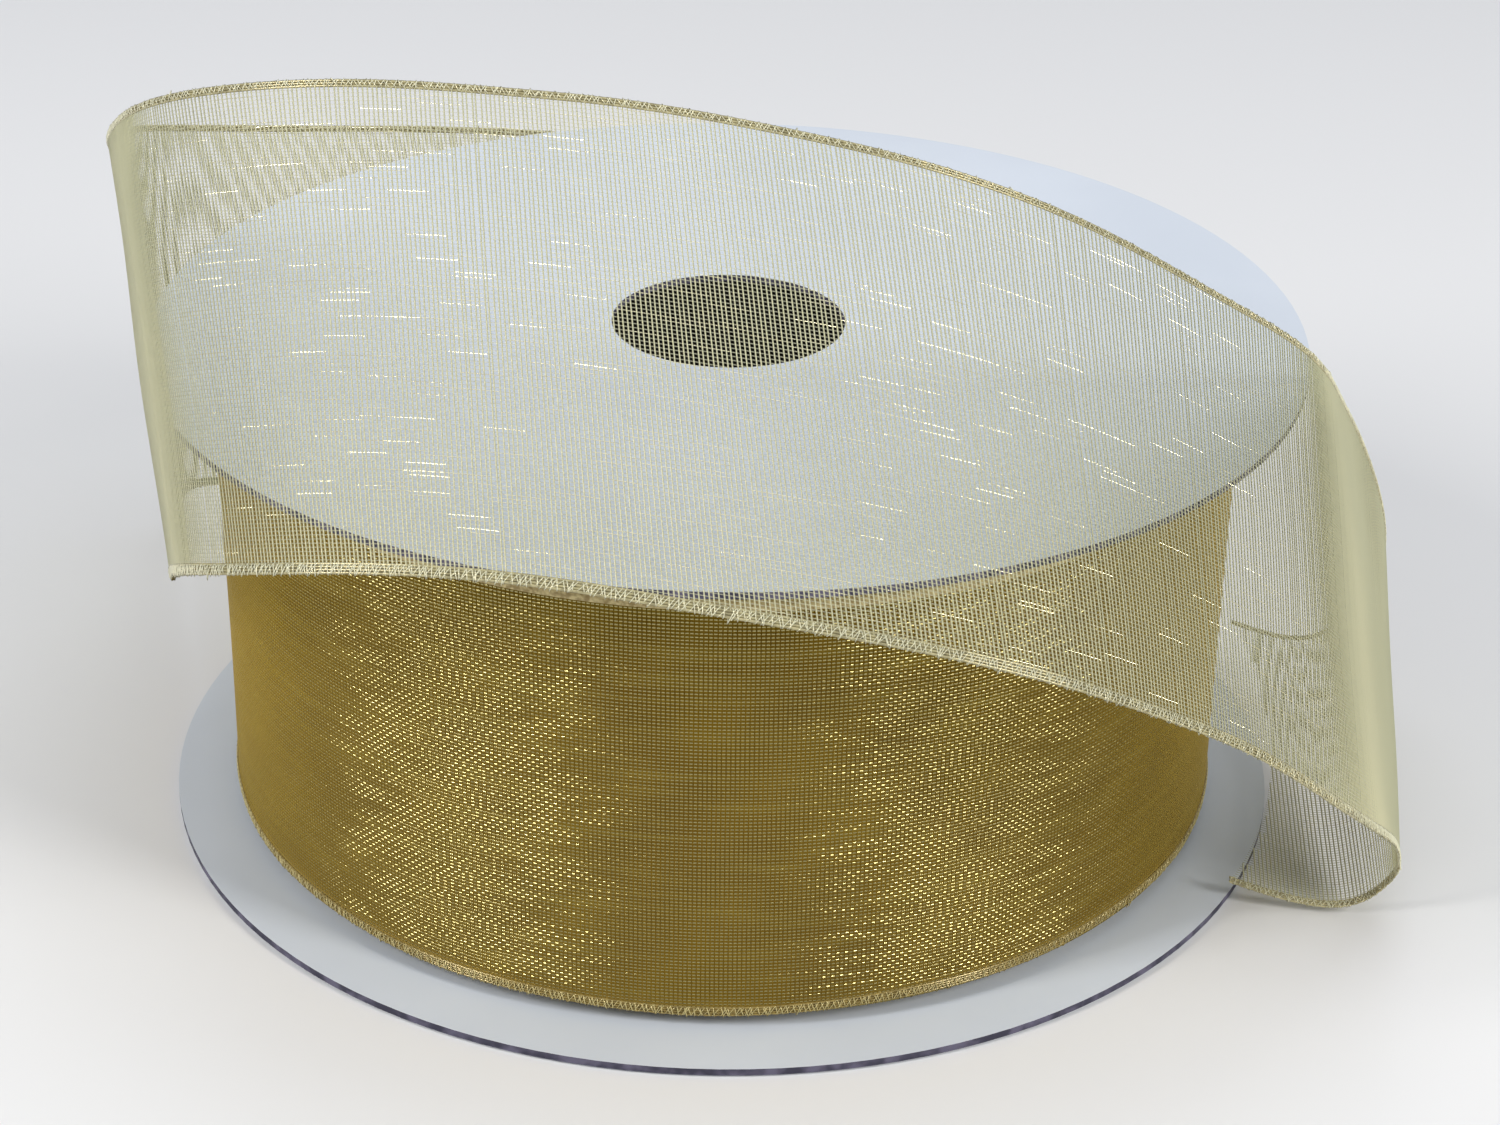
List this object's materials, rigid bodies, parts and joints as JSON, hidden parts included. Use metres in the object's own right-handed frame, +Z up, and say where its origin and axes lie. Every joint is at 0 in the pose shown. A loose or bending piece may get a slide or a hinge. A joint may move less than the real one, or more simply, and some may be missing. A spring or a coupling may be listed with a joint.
{
  "type": "gift ribbon spool",
  "caption": "Card-flanged spool wound with sheer woven ribbon, whose loose tail folds over the upper flange and tucks under the lower one.",
  "frame": {"origin": "centre of the whole object's box, at the table", "axes": "+Z up along the spool's axis, +X to the viewer's right towards the ribbon's loop, -Y towards the viewer"},
  "size_m": [0.122, 0.1102, 0.0731],
  "materials": {
    "white_card": "matt coated card",
    "kraft_tube": "matt wound kraft paper",
    "glue": "set hot-melt glue",
    "clear_tape": "clear tape",
    "wound_organza": "dark gold wound organza",
    "organza": "sheer gold organza",
    "selvedge_thread": "pale gold corded edge"
  },
  "bodies": {
    "spool": {"top_flange": "white_card", "bottom_flange": "white_card", "core_tube": "kraft_tube", "top_glue_bead": "glue", "bottom_glue_bead": "glue", "start_tape": "clear_tape", "ribbon_roll": "wound_organza", "roll_upper_selvedges": "selvedge_thread", "roll_lower_selvedges": "selvedge_thread"},
    "tail_root": {"tail_back_run": "organza", "tail_fold": "organza", "root_upper_selvedge": "selvedge_thread", "root_lower_selvedge": "selvedge_thread"},
    "tail_free": {"tail_wall": "organza", "tail_veil": "organza", "tail_loop": "organza", "tail_end": "organza", "free_upper_selvedge": "selvedge_thread", "free_lower_selvedge": "selvedge_thread"}
  },
  "joints": [
    {"name": "unwind", "type": "hinge", "parent": "spool", "child": "tail_root", "pos_m": [-0.00047, 0.00098, 0.02], "axis": [0, 0, 1], "continuous": true},
    {"name": "veil_lift", "type": "hinge", "parent": "tail_root", "child": "tail_free", "pos_m": [-0.05846, 0.04198, 0.02435], "axis": [0, -1, 0], "range_deg": [0, 75]}
  ]
}
